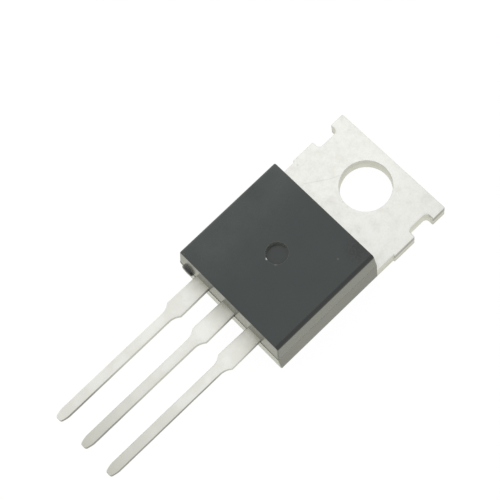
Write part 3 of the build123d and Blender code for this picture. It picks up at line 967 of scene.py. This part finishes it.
# A subdivided block is reshaped into one lead: its width follows the stubs of the dam bar,
# the taper and the tip, its edges are rounded, and dipping has left it uneven.
def leadTree():
    tree = bpy.data.node_groups.new("leadShape", "GeometryNodeTree")
    tree.interface.new_socket("Geometry", in_out="OUTPUT", socket_type="NodeSocketGeometry")
    names = list(leadShape) + list(leadExtras["mt1"]) + ["Centre X", "Front Y", "Middle Z"]
    for name in names:
        tree.interface.new_socket(name, in_out="INPUT", socket_type="NodeSocketFloat")
    tree.interface.new_socket("Finish", in_out="INPUT", socket_type="NodeSocketMaterial")
    given = addNode(tree, "NodeGroupInput").outputs

    block = addNode(tree, "GeometryNodeMeshCube", {
        "Size": (2, 2, 2), "Vertices X": 17, "Vertices Y": 420, "Vertices Z": 11}).outputs["Mesh"]
    spot = split(tree, addNode(tree, "GeometryNodeInputPosition").outputs[0])

    # crowds the divisions towards both ends of a side
    def crowd(value):
        square = times(tree, value, value)
        return times(tree, value, maths(tree, "MULTIPLY_ADD", square, -0.5, 1.5))

    across, upward = crowd(spot[0]), crowd(spot[2])
    inner = times(tree, given["Root Depth"], -1.0)
    out = remap(tree, spot[1], -1, 1, inner, given["Length"])

    stubEnd = maths(tree, "ADD", given["Stub Start"], given["Stub Length"])
    taperEnd = maths(tree, "ADD", stubEnd, given["Taper Length"])
    tipStart = minus(tree, given["Length"], given["Tip Length"])
    width = remap(tree, out, 0, given["Stub Start"], given["Shoulder Width"], given["Stub Width"])
    # the taper is an arc that runs on into the narrow part
    rise = times(tree, minus(tree, given["Stub Width"], given["Lead Width"]), 0.5)
    run2 = times(tree, given["Taper Length"], given["Taper Length"])
    rise2 = times(tree, rise, rise)
    radius = maths(tree, "DIVIDE", maths(tree, "ADD", run2, rise2), times(tree, rise, 2.0))
    back = maths(tree, "MAXIMUM", minus(tree, taperEnd, out), 0.0)
    back = maths(tree, "MINIMUM", back, given["Taper Length"])
    flat = maths(tree, "SQRT", minus(tree, times(tree, radius, radius),
                                     times(tree, back, back)))
    bulge = times(tree, minus(tree, radius, flat), 2.0)
    width = maths(tree, "MINIMUM", width, maths(tree, "ADD", given["Lead Width"], bulge))
    nearTip = remap(tree, out, tipStart, given["Length"], 0, 1)
    nearTip = maths(tree, "POWER", nearTip, 1.6)
    narrowing = minus(tree, given["Lead Width"], given["Tip Width"])
    width = minus(tree, width, times(tree, narrowing, nearTip))
    postStart = times(tree, given["Post Start"], -1.0)
    postEdge = minus(tree, postStart, 0.06 * mm)
    post = remap(tree, out, postEdge, postStart, given["Post Width"], 0.0)
    width = maths(tree, "MAXIMUM", width, post)
    thinning = minus(tree, given["Thickness"], given["Tip Thickness"])
    thick = minus(tree, given["Thickness"], times(tree, thinning, nearTip))

    halfWidth = times(tree, width, 0.5)
    halfThick = times(tree, thick, 0.5)
    edge = given["Edge Radius"]
    full = (times(tree, across, halfWidth), out, times(tree, upward, halfThick))
    limits = (
        (minus(tree, edge, halfWidth), minus(tree, halfWidth, edge)),
        (maths(tree, "ADD", inner, edge), minus(tree, given["Length"], edge)),
        (minus(tree, edge, halfThick), minus(tree, halfThick, edge)),
    )
    core = [maths(tree, "MINIMUM", maths(tree, "MAXIMUM", value, low), high)
            for value, (low, high) in zip(full, limits)]
    fullPlace, corePlace = combine(tree, *full), combine(tree, *core)
    spread = vectorMaths(tree, "SUBTRACT", fullPlace, corePlace)[0]
    spread = scaled(tree, vectorMaths(tree, "NORMALIZE", spread)[0], edge)
    rounded = vectorMaths(tree, "ADD", corePlace, spread)[0]

    # the centre lead drops to the spreader inside the body
    dropStart = times(tree, given["Drop Start"], -1.0)
    dropEnd = times(tree, given["Drop End"], -1.0)
    fall = remap(tree, out, dropEnd, dropStart, given["Drop"], 0.0, "SMOOTHSTEP")
    parts = split(tree, rounded)
    share = maths(tree, "POWER", maths(tree, "DIVIDE", parts[0], halfWidth), 4.0)
    share = times(tree, share, maths(tree, "DIVIDE", given["Crown"], halfThick))
    crowned = times(tree, parts[2], minus(tree, 1.0, share))
    final = combine(
        tree,
        maths(tree, "ADD", parts[0], given["Centre X"]),
        minus(tree, given["Front Y"], parts[1]),
        minus(tree, maths(tree, "ADD", crowned, given["Middle Z"]), fall),
    )
    shaped = addNode(tree, "GeometryNodeSetPosition",
                     {"Geometry": block, "Position": final}).outputs[0]
    flipped = addNode(tree, "GeometryNodeFlipFaces", {"Mesh": shaped}).outputs[0]

    # unevenness of the dipped tin, mostly at the sides
    lump = addNode(tree, "ShaderNodeTexNoise", {
        "Vector": addNode(tree, "GeometryNodeInputPosition").outputs[0],
        "W": given["Seed"],
        "Scale": maths(tree, "DIVIDE", 1.0, given["Ripple"]),
        "Detail": 2.0,
    }, noise_dimensions="4D").outputs["Fac"]
    lump = minus(tree, lump, 0.62)
    lump = times(tree, lump, given["Unevenness"])
    fade = remap(tree, out, 0, 1 * mm, 0, 1)
    lump = times(tree, lump, fade)
    facing = addNode(tree, "GeometryNodeInputNormal").outputs[0]
    uneven = addNode(tree, "GeometryNodeSetPosition",
                     {"Geometry": flipped, "Offset": scaled(tree, facing, lump)}).outputs[0]
    soft = addNode(tree, "GeometryNodeSetShadeSmooth", {"Geometry": uneven}).outputs[0]
    real = addNode(tree, "GeometryNodeRealizeInstances", {"Geometry": soft}).outputs[0]
    dressed = addNode(tree, "GeometryNodeSetMaterial",
                      {"Geometry": real, "Material": given["Finish"]}).outputs[0]
    addNode(tree, "NodeGroupOutput", {"Geometry": dressed})
    return tree


def growFromTree(name, tree, values):
    piece = addObject(name, bpy.data.meshes.new(name))
    modifier = piece.modifiers.new(name, "NODES")
    modifier.node_group = tree
    for item in tree.interface.items_tree:
        if item.in_out == "INPUT" and item.name in values:
            modifier[item.identifier] = values[item.name]
    return applyModifiers(piece)


leadGroup = leadTree()
leadPieces = {"mt1": ("mt1Lead", "mt1_lead"), "centre": ("centreLead", "heatsink_tab"),
              "gate": ("gateLead", "gate_lead")}
for key, (pieceName, nodeName) in leadPieces.items():
    values = {**leadShape, **leadExtras[key], "Centre X": leadX[key], "Front Y": bodyFront,
              "Middle Z": (leadBase + leadTop) / 2, "Finish": leadFinish}
    lead = growFromTree(pieceName, leadGroup, values)
    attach(lead, "root")
    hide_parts(nodeName)
    print(pieceName, "made:", len(lead.data.polygons), "faces")


stageLook = {
    "floorSize": 3.0,           # metres
    "floorColour": 0.80,
    "floorYellow": 0.10,        # the floor is a little warm, but the backdrop shows white
    "floorShare": 0.10,         # how much of the lit floor the camera shows, shadow included
    "floorGlow": 0.955,
    "zenith": 0.92,
    "horizon": 0.80,
    "shadeSide": 0.62,          # how much darker the low sky is on the +X side
    "brightSide": 0.25,         # and how much brighter on the -X side
    # where each fades in along its direction, and where the low sky ends
    "eastFade": (0.1, 0.75),
    "westFade": (-0.1, -0.7),
    "lowFade": (0.45, 0.9),
}


# 1 on the rays that show a surface as it looks, 0 on those that light another one
def seenDirectly(tree):
    path = addNode(tree, "ShaderNodeLightPath").outputs
    seen = maths(tree, "MAXIMUM", path["Is Camera Ray"], path["Is Glossy Ray"])
    return maths(tree, "MAXIMUM", seen, path["Is Transmission Ray"]), path


def makeFloor(look):
    finish = bpy.data.materials.new("paleFloor")
    finish.use_nodes = True
    tree = finish.node_tree
    tree.nodes.clear()
    seen, path = seenDirectly(tree)
    warm = look["floorYellow"]
    matt = addNode(tree, "ShaderNodeBsdfDiffuse",
                   {"Color": grey(look["floorColour"], warm)}).outputs[0]
    shown = blend(tree, path["Is Camera Ray"], grey(1.0, warm), grey(1.0))
    glow = addNode(tree, "ShaderNodeEmission",
                   {"Color": shown, "Strength": look["floorGlow"]}).outputs[0]
    faint = addNode(tree, "ShaderNodeBsdfDiffuse",
                    {"Color": grey(look["floorColour"] * look["floorShare"])}).outputs[0]
    bright = addNode(tree, "ShaderNodeAddShader", {0: faint, 1: glow}).outputs[0]
    mixed = addNode(tree, "ShaderNodeMixShader", {0: seen, 1: matt, 2: bright}).outputs[0]
    addNode(tree, "ShaderNodeOutputMaterial", {"Surface": mixed})
    bm = bmesh.new()
    bmesh.ops.create_grid(bm, x_segments=8, y_segments=8, size=look["floorSize"] / 2)
    floor = placeMesh("studioFloor", bm, finish)
    floor.location = (0, 0, cadLow.z - 0.02 * mm)


def makeWorld(look):
    world = bpy.data.worlds.new("studioWorld")
    bpy.context.scene.world = world
    world.use_nodes = True
    tree = world.node_tree
    tree.nodes.clear()
    heading = split(tree, addNode(tree, "ShaderNodeTexCoord").outputs["Generated"])
    level = remap(tree, heading[2], 0, 1, look["horizon"], look["zenith"], "SMOOTHSTEP")
    low = remap(tree, heading[2], *look["lowFade"], 1, 0, "SMOOTHSTEP")
    east = remap(tree, heading[0], *look["eastFade"], 0, look["shadeSide"], "SMOOTHSTEP")
    level = times(tree, level, minus(tree, 1.0, times(tree, east, low)))
    west = remap(tree, heading[0], *look["westFade"], 0, look["brightSide"], "SMOOTHSTEP")
    level = times(tree, level, maths(tree, "ADD", 1.0, times(tree, west, low)))
    # it looks white itself, seen straight on or in a reflection, but lights at its own level
    seen = seenDirectly(tree)[0]
    level = maths(tree, "MAXIMUM", level, seen)
    sky = addNode(tree, "ShaderNodeBackground", {"Color": grey(1.0), "Strength": level}).outputs[0]
    addNode(tree, "ShaderNodeOutputWorld", {"Surface": sky})


lampLook = {
    "overheadSoftbox": {"from": (-0.12, 0.16, 0.42), "size": 0.30, "power": 0.03},
    "rearGlint": {"from": (-0.10, 0.28, 0.17), "size": 0.03, "power": 0.006},
}


def makeLamp(name, look, target):
    lamp = bpy.data.lights.new(name, "AREA")
    lamp.shape = "DISK"
    lamp.size = look["size"]
    lamp.energy = look["power"]
    holder = addObject(name, lamp)
    place = Vector(look["from"])
    holder.location = place
    holder.rotation_mode = "QUATERNION"
    holder.rotation_quaternion = (target - place).to_track_quat("-Z", "Y")


makeFloor(stageLook)
makeWorld(stageLook)
for lampName, look in lampLook.items():
    makeLamp(lampName, look, Vector((0, (bodyFront + bodyRear) / 2, 2 * mm)))
print("stage lit")


cameraLook = {
    "target": (-2.197 * mm, -8.993 * mm, 2.0 * mm),
    "distance": 91.293 * mm,
    "azimuth": 66.53,           # 0 looks along +Y, 90 along -X
    "elevation": 71.83,
    "roll": -21.04,
    "lens": 95.6,
    "sensor": 36.0,
}


def makeCamera(look):
    azimuth, elevation, roll = (math.radians(look[k]) for k in ("azimuth", "elevation", "roll"))
    level = math.cos(elevation)
    back = Vector((math.sin(azimuth) * level, -math.cos(azimuth) * level, math.sin(elevation)))
    levelRight = Vector((math.cos(azimuth), math.sin(azimuth), 0))
    levelUp = back.cross(levelRight)
    right = levelRight * math.cos(roll) + levelUp * math.sin(roll)
    up = back.cross(right)
    camera = bpy.data.cameras.new("studioCamera")
    camera.lens = look["lens"]
    camera.sensor_width = look["sensor"]
    camera.clip_start = 1 * mm
    camera.clip_end = 5.0
    holder = addObject("studioCamera", camera)
    turned = Matrix((right, up, back)).transposed().to_4x4()
    eye = Vector(look["target"]) + back * look["distance"]
    holder.matrix_world = Matrix.Translation(eye) @ turned
    bpy.context.scene.camera = holder


makeCamera(cameraLook)
bpy.context.scene.view_settings.view_transform = "Standard"
